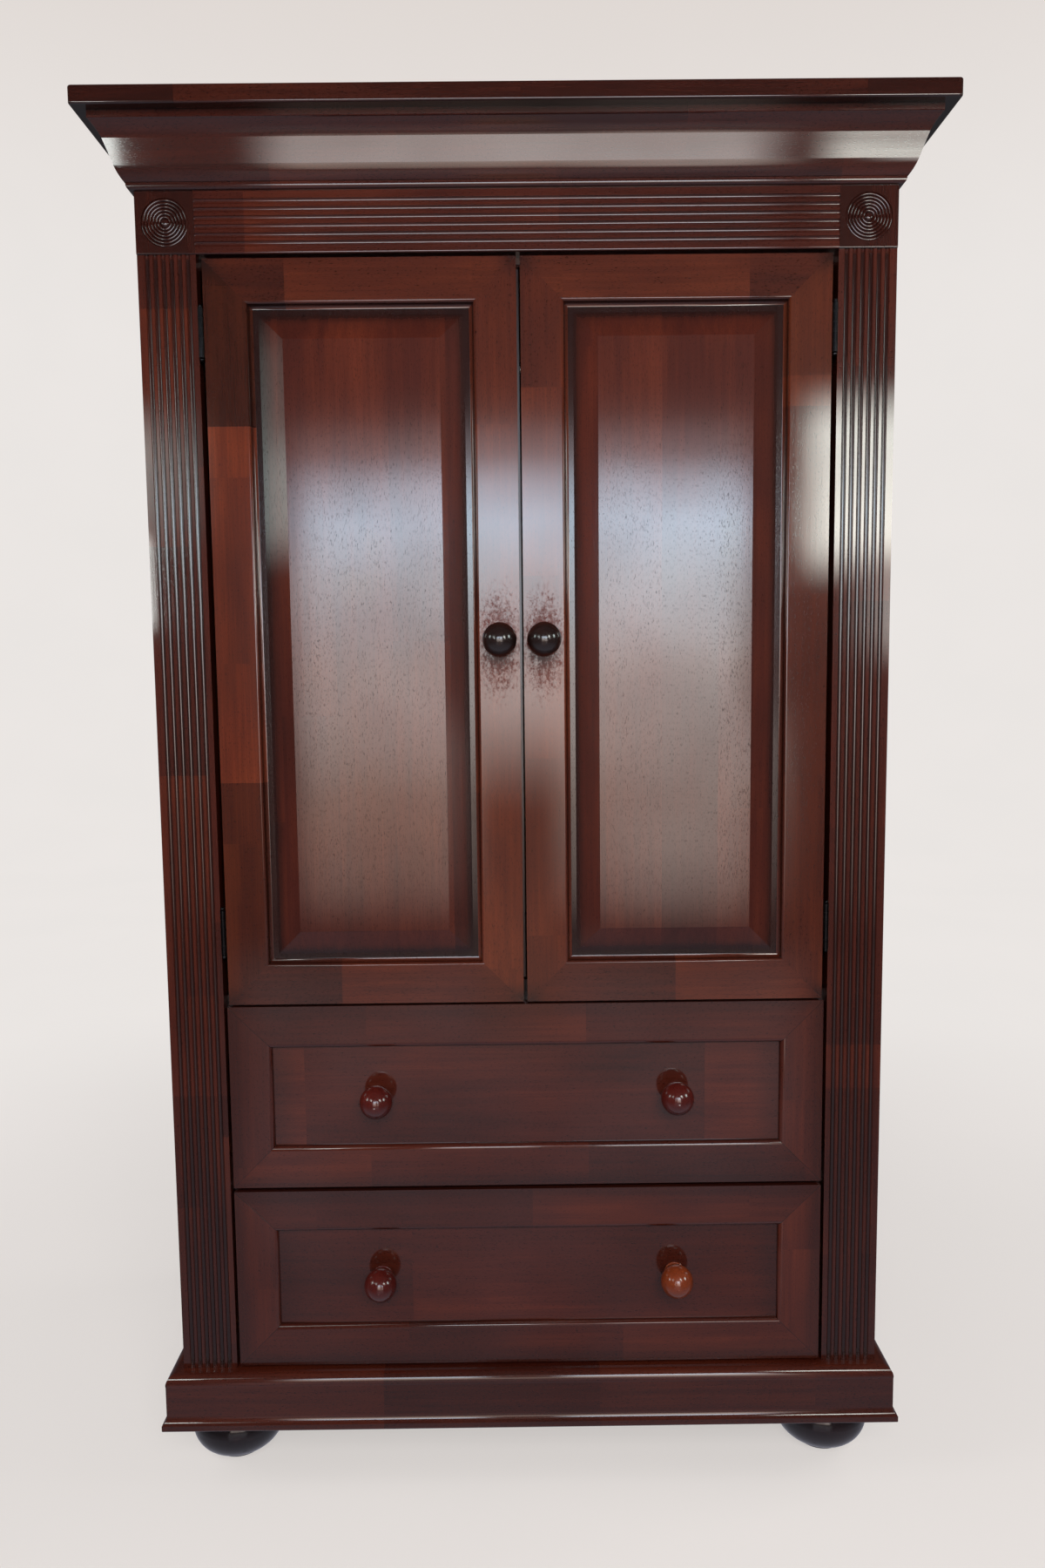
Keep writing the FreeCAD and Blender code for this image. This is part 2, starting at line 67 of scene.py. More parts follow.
class Tree:
    """A node tree with one call for each kind of step."""

    def __init__(self, tree):
        self.tree = tree

    def feed(self, socket, value):
        if isinstance(value, bpy.types.NodeSocket):
            self.tree.links.new(value, socket)
        else:
            socket.default_value = value

    def add(self, kind, inputs=None, **settings):
        made = self.tree.nodes.new("ShaderNode" + kind)
        for key, value in settings.items():
            setattr(made, key, value)
        for key, value in (inputs or {}).items():
            self.feed(made.inputs[key], value)
        return made

    def math(self, operation, *values, clamp=False):
        made = self.add("Math", operation=operation, use_clamp=clamp)
        for socket, value in zip(made.inputs, values):
            self.feed(socket, value)
        return made.outputs[0]

    def mix(self, factor, a, b, blend="MIX"):
        made = self.add("Mix", data_type="RGBA", blend_type=blend, clamp_factor=True)
        for socket, value in ((0, factor), (6, a), (7, b)):
            self.feed(made.inputs[socket], value)
        return made.outputs[2]

    def noise(self, vector, scale, detail=2.0, roughness=0.5):
        inputs = {"Vector": vector, "Scale": scale, "Detail": detail, "Roughness": roughness}
        return self.add("TexNoise", inputs).outputs["Fac"]

    def object_place(self):
        return self.add("TexCoord").outputs["Object"]

    def split(self, vector):
        """The three parts of a vector."""
        return self.add("SeparateXYZ", {0: vector}).outputs

    def join(self, x, y, z=0.0):
        return self.add("CombineXYZ", {"X": x, "Y": y, "Z": z}).outputs[0]

    def total(self, a, b):
        """The sum of two vectors."""
        return self.add("VectorMath", {0: a, 1: b}, operation="ADD").outputs[0]

    def stretch(self, vector, scale):
        return self.add("VectorMath", {0: vector, 1: scale}, operation="MULTIPLY").outputs[0]

    def length(self, vector):
        return self.add("VectorMath", {0: vector}, operation="LENGTH").outputs["Value"]

    def smooth(self, value, low, high, out_low=0.0, out_high=1.0):
        """A soft step from one value to another."""
        made = self.add("MapRange", interpolation_type="SMOOTHSTEP")
        for socket, number in zip(made.inputs, (value, low, high, out_low, out_high)):
            self.feed(socket, number)
        return made.outputs[0]

    def ramp(self, value, stops):
        made = self.add("ValToRGB", {0: value})
        band = made.color_ramp
        while len(band.elements) < len(stops):
            band.elements.new(0.5)
        for element, (place, colour) in zip(band.elements, stops):
            element.position = place
            element.color = rgba(colour)
        return made.outputs[0]

    def finish(self, shader):
        self.feed(self.add("OutputMaterial").inputs["Surface"], shader.outputs[0])

    def finish_with_bump(self, shader, height, strength, distance=0.001):
        """Connects a shader to the surface, with a bump height in metres times the distance."""
        bump = self.add("Bump", {"Strength": strength, "Distance": distance, "Height": height})
        self.feed(shader.inputs["Normal"], bump.outputs[0])
        coat = shader.inputs["Coat Weight"]
        if coat.default_value > 0 or coat.is_linked:
            self.feed(shader.inputs["Coat Normal"], bump.outputs[0])
        self.finish(shader)


def new_material(name):
    material = bpy.data.materials.new(name)
    material.use_nodes = True
    material.node_tree.nodes.clear()
    return material, Tree(material.node_tree)


def new_finish(name):
    """A new material on a CAD node, returned as an empty node tree."""
    material, tree = new_material(name + "_finish")
    mesh = nodes[name].data
    mesh.materials.clear()
    mesh.materials.append(material)
    return tree


# Wood. The grain runs along the third coordinate, whichever axis of the object that is.

GRAIN_ORDER = {"X": ("Z", "Y", "X"), "Y": ("X", "Z", "Y"), "Z": ("X", "Y", "Z")}


def make_figure_group():
    """Staves with butt joints, slow blotches, fine streaks and pores, from a position in metres."""
    group = bpy.data.node_groups.new("wood_figure", "ShaderNodeTree")
    face = group.interface
    face.new_socket("Vector", in_out="INPUT", socket_type="NodeSocketVector")
    for name in ("Seed", "Stave Width", "Stave Length"):
        face.new_socket(name, in_out="INPUT", socket_type="NodeSocketFloat")
    for name in ("Stave", "Blotch", "Streak", "Fibre", "Pore", "Wave"):
        face.new_socket(name, in_out="OUTPUT", socket_type="NodeSocketFloat")
    tree = Tree(group)
    given = group.nodes.new("NodeGroupInput").outputs
    made = group.nodes.new("NodeGroupOutput").inputs
    seed = given["Seed"]
    shift = tree.join(*(tree.math("MULTIPLY", seed, factor) for factor in (3.17, 5.71, 7.93)))
    place = tree.total(given["Vector"], shift)
    across, _, along = tree.split(place)
    column = tree.math("FLOOR", tree.math("DIVIDE", across, given["Stave Width"]))
    column_seed = tree.math("ADD", column, tree.math("MULTIPLY", seed, 13.7))
    slip = tree.add("TexWhiteNoise", {"W": column_seed}, noise_dimensions="1D").outputs["Value"]
    in_staves = tree.math("DIVIDE", along, given["Stave Length"])
    row = tree.math("FLOOR", tree.math("ADD", in_staves, tree.math("MULTIPLY", slip, 7.0)))
    cell = tree.join(column, row, seed)
    stave = tree.add("TexWhiteNoise", {"Vector": cell}, noise_dimensions="3D").outputs["Value"]
    own = tree.total(place, tree.join(stave, slip, stave))
    pore_noise = tree.noise(tree.stretch(own, (1250.0, 1250.0, 240.0)), 1.0, 1.0)
    tree.feed(made["Stave"], stave)
    tree.feed(made["Blotch"], tree.noise(tree.stretch(own, (9.0, 9.0, 3.2)), 1.0, 3.0, 0.55))
    tree.feed(made["Streak"], tree.noise(tree.stretch(own, (120.0, 120.0, 3.5)), 1.0, 4.0, 0.6))
    tree.feed(made["Fibre"], tree.noise(tree.stretch(own, (620.0, 620.0, 14.0)), 1.0, 2.0, 0.6))
    tree.feed(made["Pore"], tree.smooth(pore_noise, 0.58, 0.72))
    tree.feed(made["Wave"], tree.noise(tree.stretch(place, (16.0, 16.0, 7.0)), 1.0, 1.0))
    return group


figure_group = make_figure_group()


def wood_figure(tree, turned, seed, stave):
    """The figure for staves of a given (width, length)."""
    figure = tree.add("Group", node_tree=figure_group)
    for key, value in zip(("Vector", "Seed", "Stave Width", "Stave Length"), (turned, seed, *stave)):
        tree.feed(figure.inputs[key], value)
    return figure.outputs


def grain_position(tree, grain):
    """The position in the object's frame, turned so that the third coordinate runs with the grain."""
    place = tree.object_place()
    parts = tree.split(place)
    return place, tree.join(*(parts["XYZ".index(axis)] for axis in GRAIN_ORDER[grain]))


def from_end(tree, share, length):
    """The distance to the nearer end of a length, from a share of it."""
    return tree.math("MULTIPLY", tree.math("MINIMUM", share, tree.math("SUBTRACT", 1.0, share)), length)


def mitred_position(tree, size):
    """For a frame whose members are one piece here: grain along each member, and 1 on the mitre lines."""
    place = tree.object_place()
    x, y, z = tree.split(place)
    across, _, up = tree.split(tree.add("TexCoord").outputs["Generated"])
    from_side = from_end(tree, across, size.x)
    from_edge = from_end(tree, up, size.z)
    stile = tree.math("LESS_THAN", from_side, from_edge)
    right_or_top = tree.math("GREATER_THAN", tree.mix(stile, up, across), 0.5)
    member = tree.math("MULTIPLY_ADD", stile, 1.7, tree.math("MULTIPLY", right_or_top, 2.9))
    turned = tree.mix(stile, tree.join(z, y, x), tree.join(x, y, z))
    gap = tree.math("ABSOLUTE", tree.math("SUBTRACT", from_side, from_edge))
    joint = tree.smooth(gap, 0.0001, 0.0009, 1.0, 0.0)
    return place, tree.total(turned, tree.join(member, 0.0, member)), joint


def near_rim(tree, size, reach, axes="XYZ"):
    """1 at the rim of a piece's bounding box and 0 further in than the reach, along the given axes."""
    shares = tree.split(tree.add("TexCoord").outputs["Generated"])
    distances = [from_end(tree, share, length) for axis, share, length in zip("XYZ", shares, size)
                 if axis in axes and length > 3 * reach]
    nearest = distances[0]
    for distance in distances[1:]:
        nearest = tree.math("MINIMUM", nearest, distance)
    return tree.smooth(nearest, 0.0, reach, 1.0, 0.0)


def tone_ramp(tree, tone, tones, inset):
    """Tones spaced evenly from inset to 1 - inset."""
    step = (1.0 - 2.0 * inset) / (len(tones) - 1)
    return tree.ramp(tone, [(inset + step * i, colour) for i, colour in enumerate(tones)])


def stained_wood(tree, figure, turned, tones, contrast, lightness, bands):
    """The colour of stained wood, with its staves, blotches, streaks, fibres and pores."""
    tone = tree.math("MULTIPLY_ADD", figure["Stave"], 0.15 * contrast, 0.29 - 0.075 * contrast)
    tone = tree.math("MULTIPLY_ADD", figure["Blotch"], 0.62 * contrast, tone)
    tone = tree.math("MULTIPLY_ADD", tree.math("SUBTRACT", figure["Streak"], 0.5), 0.34, tone)
    tone = tree.math("SUBTRACT", tone, 0.31 * contrast - 0.21, clamp=True)
    fine = tree.math("MULTIPLY_ADD", tree.math("SUBTRACT", figure["Fibre"], 0.5), 0.55, lightness)
    fine = tree.math("MULTIPLY", fine, tree.smooth(figure["Pore"], 0.0, 1.0, 1.0, 0.5))
    for start, change in bands:
        along = tree.split(turned)[2]
        fine = tree.math("MULTIPLY", fine, tree.smooth(along, start, start + 0.0004, 1.0, change))
    level = tree.add("CombineColor", {"Red": fine, "Green": fine, "Blue": fine}).outputs[0]
    return tree.mix(1.0, tone_ramp(tree, tone, tones, 0.08), level, "MULTIPLY")


def rubbed_spot(tree, place, front, spot):
    """1 in a ragged spot on the front face, and 0 elsewhere. Spot is (x, z, half width, half height)."""
    spot_x, spot_z, half_width, half_height = spot
    x, y, z = tree.split(place)
    away = tree.length(tree.join(tree.math("DIVIDE", tree.math("SUBTRACT", x, spot_x), half_width),
                                 tree.math("DIVIDE", tree.math("SUBTRACT", z, spot_z), half_height)))
    ragged = tree.noise(tree.stretch(place, (190.0, 190.0, 130.0)), 1.0, 6.0, 0.8)
    rubbed = tree.math("MULTIPLY_ADD", ragged, 2.6, tree.math("MULTIPLY", away, -1.1))
    on_front = tree.smooth(y, front + 0.0002, front + 0.002, 1.0, 0.0)
    return tree.math("MULTIPLY", tree.smooth(rubbed, 0.45, 1.25), on_front)


def lacquer(name, grain, seed, tones=MAHOGANY, stave=(0.11, 0.32), contrast=1.0, lightness=1.0, bands=(),
            rim=None, recess_shade=None, mitred=False, worn=None, flecked=False, coat_roughness=0.065):
    """Stained wood under clear lacquer.

    Bands give (where it starts along the grain, lightness) for staves that stand out from the rest. Rim is
    (reach, strength, axes) for the stain that stays at a piece's rim, and recess (first depth, last depth,
    strength) for painted shade in flutes, grooves and behind mouldings, darker between those two depths from
    its front. A mitred piece is a frame with four members. Worn is (x, z, half width, half height) of a spot
    that hands have rubbed dull. Flecked wood shows its open pores as dull specks in the lacquer.
    """
    tree = new_finish(name)
    low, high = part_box(name)
    size = high - low
    if mitred:
        place, turned, joint = mitred_position(tree, size)
    else:
        place, turned = grain_position(tree, grain)
    figure = wood_figure(tree, turned, seed, stave)
    colour = stained_wood(tree, figure, turned, tones, contrast, lightness, bands)
    if mitred:
        colour = tree.mix(tree.math("MULTIPLY", joint, 0.7), colour, rgba(JOINT_STAIN_AND_HOLLOW_SHADE))
    # Painted shade: darker between two depths from the front, in flutes, ring grooves and behind mouldings,
    # kept off the rim.
    if recess_shade:
        first, last, strength = recess_shade
        sunk_shade = tree.smooth(tree.split(place)[1], low.y + first, low.y + last, 0.0, strength)
        sunk_shade = tree.math("MULTIPLY", sunk_shade, tree.math("SUBTRACT", 1.0, near_rim(tree, size, 0.008)))
        colour = tree.mix(sunk_shade, colour, rgba(JOINT_STAIN_AND_HOLLOW_SHADE))
    if rim:
        reach, strength, axes = rim
        stain = tree.math("MULTIPLY", near_rim(tree, size, reach, axes), strength)
        stain = tree.math("MULTIPLY", stain, tree.smooth(figure["Blotch"], 0.25, 0.75, 0.5, 1.0))
        colour = tree.mix(stain, colour, rgba(RIM_STAIN))
    coat = tree.smooth(figure["Pore"], 0.0, 1.0, 1.0, 0.45) if flecked else 1.0
    if worn:
        rubbed = rubbed_spot(tree, place, low.y, worn)
        coat = tree.smooth(rubbed, 0.0, 1.0, 1.0, 0.15)
        colour = tree.mix(tree.math("MULTIPLY", rubbed, 0.4), colour, rgba(RUBBED_WOOD))
    rough = tree.math("MULTIPLY_ADD", figure["Streak"], 0.16, 0.36)
    surface = tree.add("BsdfPrincipled", {"Base Color": colour, "Roughness": rough, "Coat Weight": coat,
                                          "Coat Roughness": coat_roughness, "Coat IOR": 1.53,
                                          "Specular IOR Level": 0.06})
    height = tree.math("MULTIPLY_ADD", figure["Pore"], -0.008, tree.math("MULTIPLY", figure["Streak"], 0.03))
    height = tree.math("MULTIPLY_ADD", figure["Wave"], 0.22, height)
    tree.finish_with_bump(surface, height, 0.55)


CASE_FRONT = -0.225    # the front edges of the side panels, in metres


def satin(name, grain, seed, tones, stave, roughness):
    """Wood with a thin satin finish, or none. Stain runs onto the front edges of the boards in the case."""
    tree = new_finish(name)
    place, turned = grain_position(tree, grain)
    figure = wood_figure(tree, turned, seed, stave)
    tone = tree.math("MULTIPLY_ADD", figure["Stave"], 0.35, tree.math("MULTIPLY", figure["Blotch"], 0.35))
    tone = tree.math("MULTIPLY_ADD", figure["Streak"], 0.5, tree.math("SUBTRACT", tone, 0.1), clamp=True)
    pore_colour = rgba(tuple(0.4 * c for c in tones[0]))
    in_pores = tree.math("MULTIPLY", figure["Pore"], 0.5)
    colour = tree.mix(in_pores, tone_ramp(tree, tone, tones, 0.1), pore_colour)
    front_edge = tree.smooth(tree.split(place)[1], CASE_FRONT + 0.011, CASE_FRONT + 0.025, 1.0, 0.0)
    colour = tree.mix(front_edge, colour, rgba(FRONT_EDGE_STAIN))
    rough = tree.math("MULTIPLY_ADD", figure["Fibre"], 0.2, roughness - 0.1)
    surface = tree.add("BsdfPrincipled", {"Base Color": colour, "Roughness": rough,
                                          "Specular IOR Level": 0.35})
    height = tree.math("MULTIPLY_ADD", figure["Pore"], -0.12, tree.math("MULTIPLY", figure["Fibre"], 0.08))
    tree.finish_with_bump(surface, height, 0.6)


def metal(name, colour, roughness, brush_axis, scratch):
    """Bare or blackened metal with fine brushing and worn spots."""
    tree = new_finish(name)
    place = tree.object_place()
    scale = tuple(60.0 if axis == brush_axis else 2200.0 for axis in "XYZ")
    brush = tree.noise(tree.stretch(place, scale), 1.0, 2.0, 0.6)
    wear = tree.smooth(tree.noise(place, 140.0, 4.0, 0.65), 0.52, 0.74)
    bare = rgba(tuple(min(1.0, 3.0 * c) for c in colour))
    shown = tree.mix(tree.math("MULTIPLY", wear, scratch), rgba(colour), bare)
    rough = tree.math("MULTIPLY_ADD", brush, 0.22, roughness - 0.11)
    surface = tree.add("BsdfPrincipled", {"Base Color": shown, "Roughness": rough, "Metallic": 1.0})
    tree.finish_with_bump(surface, brush, 0.12, 0.0004)


def plastic(name, colour):
    tree = new_finish(name)
    place = tree.object_place()
    grain = tree.noise(place, 2600.0, 2.0)
    patch = tree.smooth(tree.noise(place, 90.0, 3.0), 0.3, 0.7)
    shown = tree.mix(patch, rgba(colour), rgba(tuple(1.35 * c for c in colour)))
    rough = tree.math("MULTIPLY_ADD", grain, 0.2, 0.42)
    surface = tree.add("BsdfPrincipled", {"Base Color": shown, "Roughness": rough})
    tree.finish_with_bump(surface, grain, 0.2, 0.0003)


# Each CAD node's finish

# Recess values give painted shade in flutes, ring grooves and the hollows behind mouldings.
DOOR_BANDS = {"left": [(0.98, 2.15), (1.4425, 0.27)], "right": [(1.5, 0.7)]}
HINGE_STILE_LIGHTNESS = {"left": 0.64, "right": 0.86}
RUBBED = (0.03, 1.16, 0.052, 0.115)
KNOB_COAT_ROUGHNESS = 0.14

lacquer("top_board", "X", 1.0, stave=(0.09, 0.42), lightness=0.62)
lacquer("crown_front", "X", 2.0, stave=(0.3, 0.36), lightness=0.85)
lacquer("frieze_board", "X", 3.0, stave=(0.3, 0.4), recess_shade=(0.0002, 0.0022, 0.75))
lacquer("plinth_front", "X", 12.0, stave=(0.5, 0.3), contrast=0.5, lightness=0.9)
lacquer("carcass_top_panel", "X", 14.0, stave=(0.09, 0.5), lightness=0.45)
lacquer("left_door_astragal", "Z", 13.0, stave=(0.4, 0.4), lightness=0.4, coat_roughness=0.3)
lacquer("bun_feet", "Z", 1.0, FOOT, coat_roughness=0.08)


def finish_side(side, seed):
    """The case's pieces at one side."""
    lacquer("crown_" + side, "Y", seed, stave=(0.3, 0.5))
    lacquer("corner_block_" + side, "Z", seed + 0.5, stave=(0.3, 0.5), lightness=0.7,
            recess_shade=(0.00104, 0.00234, 0.6))
    lacquer("pilaster_" + side, "Z", seed + 2.0, stave=(0.3, 0.3), lightness=0.88, bands=[(0.55, 1.35)],
            recess_shade=(0.0002, 0.0022, 0.7))
    lacquer("plinth_" + side, "Y", seed + 4.0, stave=(0.3, 0.4), contrast=0.5, lightness=0.9)
    lacquer("side_panel_" + side, "Z", seed + 6.0, stave=(0.09, 0.6))


def finish_door(side, seed):
    """A door's frame members, panel, knob and metal."""
    door = side + "_door_"
    frame_finish = {"tones": DOOR_MAHOGANY, "stave": (0.4, 0.24), "rim": (0.032, 0.85, "XYZ"),
                    "recess_shade": (0.0, 0.002, 0.8)}
    lacquer(door + "hinge_stile", "Z", seed + 10.1, lightness=HINGE_STILE_LIGHTNESS[side],
            bands=DOOR_BANDS[side], **frame_finish)
    from_middle, *spot = RUBBED
    spot_x = -from_middle if side == "left" else from_middle
    lacquer(door + "meeting_stile", "Z", seed + 10.2, worn=(spot_x, *spot), **frame_finish)
    lacquer(door + "top_rail", "X", seed + 10.3, lightness=0.86, **frame_finish)
    lacquer(door + "bottom_rail", "X", seed + 10.4, **frame_finish)
    lacquer(door + "panel", "Z", seed + 12.0, stave=(0.075, 0.9), contrast=0.9, lightness=1.15,
            rim=(0.045, 0.5, "Z"), recess_shade=(0.0051, 0.0081, 0.75), flecked=True)
    lacquer(door + "knob", "Y", seed, DARK_KNOB, coat_roughness=KNOB_COAT_ROUGHNESS)
    metal(door + "strike", (0.56, 0.56, 0.57), 0.3, "X", 0.3)
    metal(door + "hinge_leaves", BLACK_IRON, 0.34, "Z", 0.6)


def finish_drawer(drawer, seed):
    """A drawer's front and box."""
    lacquer(drawer + "_front_frame", "X", seed, stave=(0.5, 0.3), lightness=1.22, rim=(0.03, 0.6, "XYZ"),
            recess_shade=(0.0004, 0.0068, 0.6), mitred=True)
    lacquer(drawer + "_front_panel", "X", seed + 1.0, stave=(0.5, 0.55), lightness=1.3,
            rim=(0.055, 0.55, "XYZ"))
    for part, grain in (("_box_sides", "Y"), ("_box_back", "X"), ("_box_bottom", "Y")):
        satin(drawer + part, grain, seed + 2.0, PINE, (0.12, 3.0), 0.5)


for side, seed in (("left", 4.0), ("right", 5.0)):
    finish_side(side, seed)
    finish_door(side, seed)
finish_drawer("upper_drawer", 30.0)
finish_drawer("lower_drawer", 33.0)
for name, seed, tones in (("upper_drawer_knobs", 1.0, RED_KNOB), ("lower_drawer_knob_left", 2.0, RED_KNOB),
                          ("lower_drawer_knob_right", 3.0, LIGHT_KNOB)):
    lacquer(name, "Y", seed, tones, coat_roughness=KNOB_COAT_ROUGHNESS)
for name in ("base_panel", "cabinet_floor", "drawer_divider", "door_stop_block"):
    satin(name, "X", len(name) * 1.3, INTERIOR, (0.08, 0.5), 0.4)
for name, grain in (("drawer_guides", "Y"), ("glue_blocks", "Z"), ("plinth_back", "X")):
    satin(name, grain, len(name) * 1.7, PINE, (0.2, 3.0), 0.55)
satin("back_panel", "Z", 9.0, PLYWOOD, (1.5, 9.0), 0.6)
metal("hanging_rod", (0.6, 0.59, 0.57), 0.24, "X", 0.2)
metal("rod_sockets", (0.5, 0.49, 0.48), 0.35, "X", 0.3)
metal("hinge_frame_leaves", BLACK_IRON, 0.34, "Z", 0.6)
metal("hinge_pins", BLACK_PIN, 0.28, "Z", 0.6)
plastic("door_catches", CATCH_BROWN)


# Soft arrises on the wooden parts

ARRIS = 0.0011


def soften(name):
    piece = nodes[name]
    weld = piece.modifiers.new("weld", "WELD")
    weld.merge_threshold = 0.00002
    bevel = piece.modifiers.new("arris", "BEVEL")
    bevel.width = ARRIS
    bevel.segments = 3
    bevel.limit_method = "ANGLE"
    bevel.angle_limit = math.radians(38)
    bevel.harden_normals = True


for name in nodes:
    if name.endswith(("stile", "rail", "front_frame", "side_panel_left", "side_panel_right")):
        soften(name)


# Floor, backdrop and lights

def add_object(name, data):
    made = bpy.data.objects.new(name, data)
    scene.collection.objects.link(made)
    return made


def facing(centre, aim, axis):
    """The transform that stands at centre with the given axis towards aim."""
    turn = (Vector(aim) - Vector(centre)).to_track_quat(axis, "Y")
    return Matrix.Translation(centre) @ turn.to_matrix().to_4x4()


def show_only_in_reflections(made):
    made.visible_camera = False
    made.visible_diffuse = False
    made.visible_shadow = False


def lathe(name, profile, segments):
    """An open surface turned about the vertical axis, from (radius, height) points."""
    turns = [2 * math.pi * i / segments for i in range(segments)]
    points = [(r * math.cos(turn), r * math.sin(turn), z) for r, z in profile for turn in turns]
    faces = []
    for row in range(len(profile) - 1):
        low = row * segments
        for i in range(segments):
            after = (i + 1) % segments
            faces.append((low + i, low + after, low + segments + after, low + segments + i))
    mesh = bpy.data.meshes.new(name)
    mesh.from_pydata(points, [], faces)
    mesh.shade_smooth()
    made = add_object(name, mesh)
    return made


FLOOR_RADIUS = 5.0
SWEEP_RADIUS = 2.5
WALL_RADIUS = FLOOR_RADIUS + SWEEP_RADIUS
WALL_HEIGHT = 6.0
DOME_HEIGHT = 4.0
AXIS_RADIUS = 0.001


def make_sweep():
    """A round studio sweep: a floor that curves up into a wall, and closes overhead."""
    profile = [(AXIS_RADIUS, 0.0), (1.5, 0.0), (3.0, 0.0), (FLOOR_RADIUS, 0.0)]
    for angle in map(math.radians, range(10, 91, 10)):
        out, up = SWEEP_RADIUS * math.sin(angle), SWEEP_RADIUS * math.cos(angle)
        profile.append((FLOOR_RADIUS + out, SWEEP_RADIUS - up))
    profile.append((WALL_RADIUS, WALL_HEIGHT))
    for angle in map(math.radians, range(10, 90, 10)):
        profile.append((WALL_RADIUS * math.cos(angle), WALL_HEIGHT + DOME_HEIGHT * math.sin(angle)))
    profile.append((AXIS_RADIUS, WALL_HEIGHT + DOME_HEIGHT))
    sweep = lathe("sweep", profile, 96)
    material, tree = new_material("sweep_paper")
    place = tree.object_place()
    radius = tree.length(tree.stretch(place, (1.0, 1.0, 0.0)))
    mottle = tree.noise(place, 1.7, 3.0, 0.5)
    floor_colour = tree.mix(mottle, rgba((0.68, 0.635, 0.615)), rgba((0.71, 0.665, 0.645)))
    lit = tree.add("BsdfDiffuse", {"Color": floor_colour})
    # Painted shade: the paper's glow turns darker high on the wall and overhead.
    overhead = tree.smooth(tree.split(place)[2], 3.5, 7.5)
    paper = tree.mix(overhead, tree.mix(mottle, *map(rgba, PAPER)), rgba(PAPER_SHADED_OVERHEAD))
    glow = tree.add("Emission", {"Color": paper, "Strength": 1.0})
    far = tree.smooth(radius, 0.5, 2.4, 0.62, 1.0)
    tree.finish(tree.add("MixShader", {0: far, 1: lit.outputs[0], 2: glow.outputs[0]}))
    sweep.data.materials.append(material)
    sweep.visible_glossy = False
    sweep.visible_diffuse = False


def make_room():
    """What the lacquer mirrors: a pale floor under a dim room. It only shows in reflections."""
    room_radius = 8.0
    profile = [(room_radius * math.cos(angle), room_radius * math.sin(angle))
               for angle in map(math.radians, range(-88, 89, 8))]
    room = lathe("room", profile, 64)
    room.location = (0.0, 0.0, 1.0)
    material, tree = new_material("room_glow")
    height = tree.split(tree.object_place())[2]
    level = tree.math("MULTIPLY_ADD", height, 0.5 / room_radius, 0.5)
    colour = tree.ramp(level, [(0.0, (0.42, 0.42, 0.5)), (0.2, (0.3, 0.3, 0.35)), (0.35, (0.1, 0.1, 0.11)),
                               (0.7, (0.05, 0.045, 0.045)), (1.0, (0.08, 0.08, 0.08))])
    tree.finish(tree.add("Emission", {"Color": colour, "Strength": 1.0}))
    room.data.materials.append(material)
    show_only_in_reflections(room)


def card(name, centre, size, colours, soft, lean=0.0, aim=None):
    """A glowing card that only shows in reflections, facing straight to the rear unless it has an aim.

    Colours run from its bottom to its top. Soft is the part of its width and height over which its rim fades,
    and lean is how much brighter its +X side is than its -X side.
    """
    mesh = bpy.data.meshes.new(name)
    half_x, half_y = size[0] / 2, size[1] / 2
    corners = [(-half_x, -half_y, 0), (half_x, -half_y, 0), (half_x, half_y, 0), (-half_x, half_y, 0)]
    mesh.from_pydata(corners, [], [(0, 1, 2, 3)])
    made = add_object(name, mesh)
    made.matrix_world = facing(centre, aim or (centre[0], 0.0, centre[2]), "Z")
    material, tree = new_material(name)
    across, up, _ = tree.split(tree.add("TexCoord").outputs["Generated"])
    cloud = tree.smooth(tree.noise(tree.object_place(), 1.6, 2.0), 0.25, 0.75, 0.75, 1.1)
    rims = [tree.math("MULTIPLY", tree.smooth(part, 0.0, soft), tree.smooth(part, 1.0, 1.0 - soft))
            for part in (across, up)]
    slope = tree.math("MULTIPLY_ADD", across, -lean, 1.0 + lean / 2)
    strength = tree.math("MULTIPLY", cloud, slope)
    glow = tree.add("Emission", {"Color": tree.ramp(up, colours), "Strength": strength})
    clear = tree.add("BsdfTransparent")
    shown = tree.math("MULTIPLY", *rims)
    tree.finish(tree.add("MixShader", {0: shown, 1: clear.outputs[0], 2: glow.outputs[0]}))
    made.data.materials.append(material)
    show_only_in_reflections(made)


def soft_light(name, centre, size, power, colour):
    """A soft box aimed at the middle of the piece, which lights without showing in reflections."""
    data = bpy.data.lights.new(name, "AREA")
    data.shape = "RECTANGLE"
    data.size, data.size_y = size
    data.energy = power
    data.color = colour
    made = add_object(name, data)
    made.matrix_world = facing(centre, (0.0, 0.0, 0.9), "-Z")
    made.visible_glossy = False


make_sweep()
make_room()

# The window behind the camera, the floor in front of the piece, and the camera's own dark shape
card("window_card", (0.02, -3.05, 1.15), (1.98, 2.2),
     [(0.0, (0.3, 0.28, 0.27)), (0.067, (1.4, 1.2, 1.1)), (0.277, (3.5, 2.9, 2.5)), (0.5, (6.8, 6.3, 6.1)),
      (0.65, (8.4, 9.3, 10.1)), (0.75, (9.2, 11.5, 13.7)), (0.81, (7.0, 8.0, 9.4)), (0.86, (2.8, 2.6, 2.8)),
      (0.93, (0.7, 0.6, 0.6)), (1.0, (0.1, 0.1, 0.1))], soft=0.12, lean=0.25)
card("window_low_glow", (0.62, -3.0, 0.6), (1.0, 1.1),
     [(0.0, (1.6, 1.35, 1.2)), (0.55, (4.7, 4.0, 3.6)), (1.0, (7.8, 7.4, 7.1))], soft=0.4)
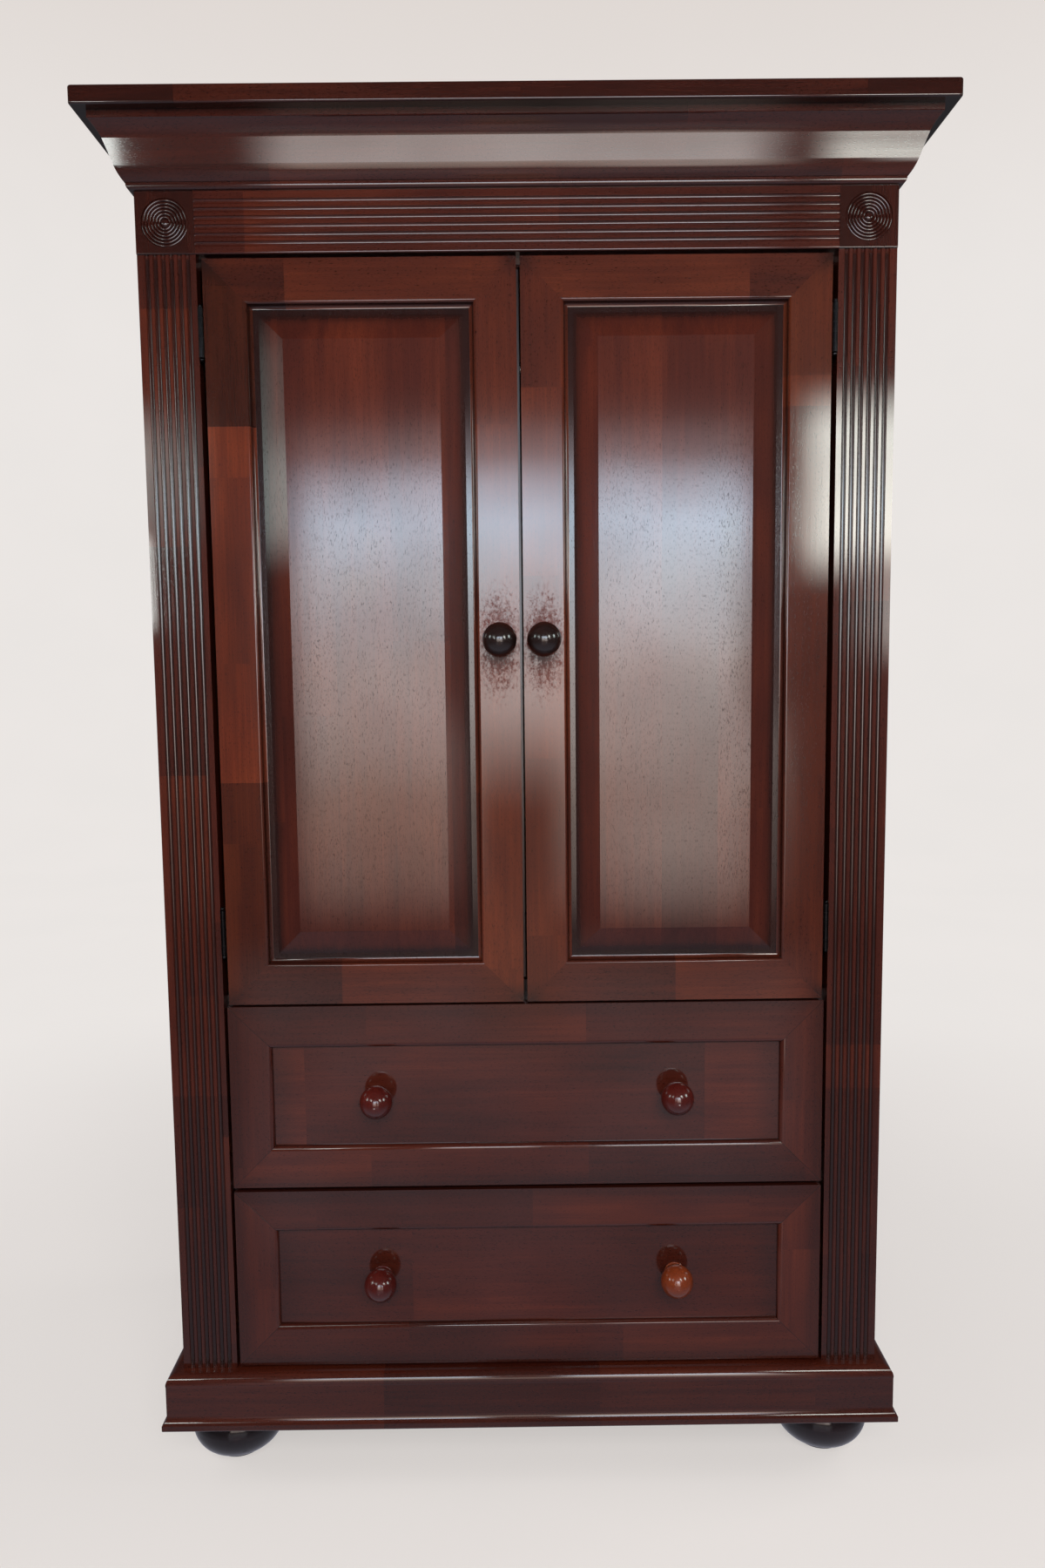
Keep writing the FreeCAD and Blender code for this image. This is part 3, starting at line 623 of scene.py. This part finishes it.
card("floor_card", (0.0, -3.04, -0.9), (2.5, 2.1),
     [(0.0, (0.3, 0.3, 0.34)), (0.3, (0.36, 0.33, 0.38)), (0.6, (0.48, 0.47, 0.53)),
      (1.0, (0.6, 0.58, 0.58))], soft=0.12)
card("camera_flag", (-0.01, -1.2, 0.64), (0.28, 0.92),
     [(0.0, (0.5, 0.42, 0.38)), (0.7, (0.5, 0.35, 0.3)), (1.0, (2.0, 1.6, 1.5))], soft=0.33)

# Strips that light the pilasters, the crown's slope and the panel bevels
card("right_strip", (0.92, -1.7, 1.6), (0.46, 0.56),
     [(0.0, (17.0, 17.0, 15.5)), (1.0, (20.0, 21.5, 20.0))], soft=0.3)
card("right_low_strip", (1.05, -1.69, 1.28), (0.46, 0.36),
     [(0.0, (5.0, 5.0, 4.7)), (1.0, (8.0, 8.0, 7.6))], soft=0.4)
card("left_strip", (-1.2, -1.71, 1.63), (0.9, 0.46),
     [(0.0, (4.6, 5.3, 5.1)), (1.0, (6.6, 7.9, 7.6))], soft=0.4)
card("left_low_strip", (-1.01, -1.7, 1.37), (0.15, 0.28),
     [(0.0, (14.0, 15.0, 14.5)), (1.0, (24.0, 25.0, 24.0))], soft=0.2)
card("left_bevel_strip", (-1.5, -1.72, 1.93), (0.5, 0.5),
     [(0.0, (1.7, 1.9, 1.8)), (1.0, (0.8, 0.9, 0.85))], soft=0.35)

# Windows at both sides, which the ball knobs mirror
door_middle = (0.0, -0.25, 1.2)
card("left_window", (-2.9, -1.4, 2.0), (0.8, 1.0), [(0.0, (6.0, 7.0, 6.8)), (1.0, (8.0, 9.5, 9.2))],
     soft=0.3, aim=door_middle)
card("right_window", (2.9, -1.4, 2.0), (0.9, 1.1), [(0.0, (9.0, 10.5, 10.0)), (1.0, (12.0, 14.0, 13.5))],
     soft=0.3, aim=door_middle)

soft_light("front_light", (0.3, -3.6, 2.6), (2.4, 2.0), 165.0, (1.0, 0.98, 0.96))
soft_light("left_light", (-3.4, -0.6, 2.4), (1.8, 2.2), 62.0, (1.0, 0.99, 0.98))
soft_light("right_light", (3.4, 0.2, 2.4), (1.8, 2.2), 62.0, (1.0, 0.99, 0.98))

world = bpy.data.worlds.new("studio")
world.use_nodes = True
background = world.node_tree.nodes["Background"].inputs
background["Color"].default_value = rgba((0.5, 0.48, 0.5))
background["Strength"].default_value = 0.3
scene.world = world
scene.view_settings.view_transform = "Standard"


# Camera

def make_camera(place, yaw, pitch, roll, lens):
    """Angles in radians: turned towards +X, down, and clockwise. The lens is in millimetres."""
    forward = Vector((math.sin(yaw) * math.cos(pitch), math.cos(yaw) * math.cos(pitch), -math.sin(pitch)))
    level = Vector((math.cos(yaw), -math.sin(yaw), 0.0))
    right = math.cos(roll) * level + math.sin(roll) * forward.cross(level)
    data = bpy.data.cameras.new("camera")
    data.sensor_width = 36.0
    data.lens = lens
    data.clip_start = 0.05
    data.clip_end = 60.0
    made = add_object("camera", data)
    turn = Matrix((right, -forward.cross(right), -forward)).transposed()
    made.matrix_world = Matrix.Translation(place) @ turn.to_4x4()
    scene.camera = made


make_camera((-0.0073, -1.7273, 1.1186), yaw=0.00413, pitch=0.09694, roll=0.0109, lens=25.6)
